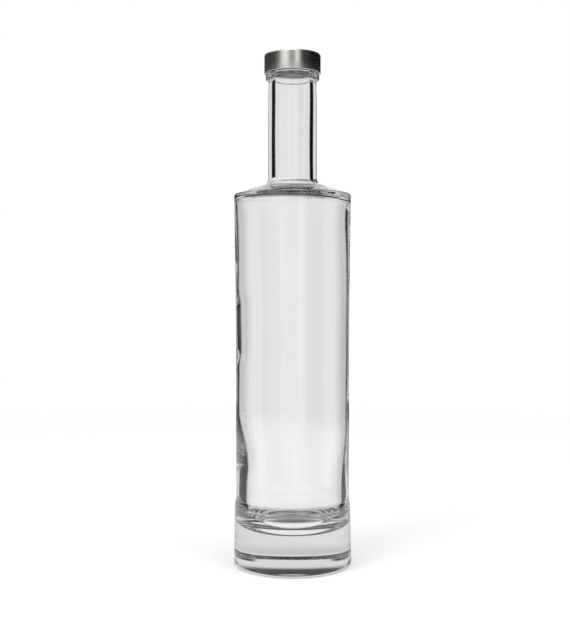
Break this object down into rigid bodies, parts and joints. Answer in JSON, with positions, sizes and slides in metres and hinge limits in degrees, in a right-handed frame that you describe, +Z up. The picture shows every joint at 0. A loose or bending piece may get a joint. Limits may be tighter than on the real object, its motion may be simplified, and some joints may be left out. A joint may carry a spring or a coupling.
{
  "type": "bottle",
  "caption": "Tall round clear glass bottle with a thick base, low sloping shoulder and long neck, closed by a low metal-clad screw cap that unscrews and lifts off.",
  "frame": {"origin": "middle of the foot ring, on the surface the bottle stands on", "axes": "+Z up the bottle's axis, from the base to the cap; the bottle is round, so +X and +Y are free"},
  "size_m": [0.0658, 0.0658, 0.2845],
  "materials": {
    "clear_glass": "clear, colourless, fire polished",
    "satin_aluminium": "satin, lacquered",
    "insert_plastic": "moulded, natural white",
    "liner_foam": "soft foam disc, matt white"
  },
  "bodies": {
    "bottle": {"glass_bottle": "clear_glass"},
    "liner": {"cap_liner": "liner_foam"},
    "cap": {"cap_shell": "satin_aluminium", "cap_insert": "insert_plastic"}
  },
  "joints": [
    {"name": "cap_lift", "type": "slide", "parent": "bottle", "child": "liner", "axis": [0, 0, 1], "range_m": [0, 0.0127]},
    {"name": "cap_turn", "type": "hinge", "parent": "liner", "child": "cap", "pos_m": [0, 0, 0.279], "axis": [0, 0, 1], "range_deg": [0, 1080]}
  ],
  "couplings": [
    {"joint": "cap_lift", "follows": "cap_turn", "m_per_rad": 0.0006737}
  ]
}
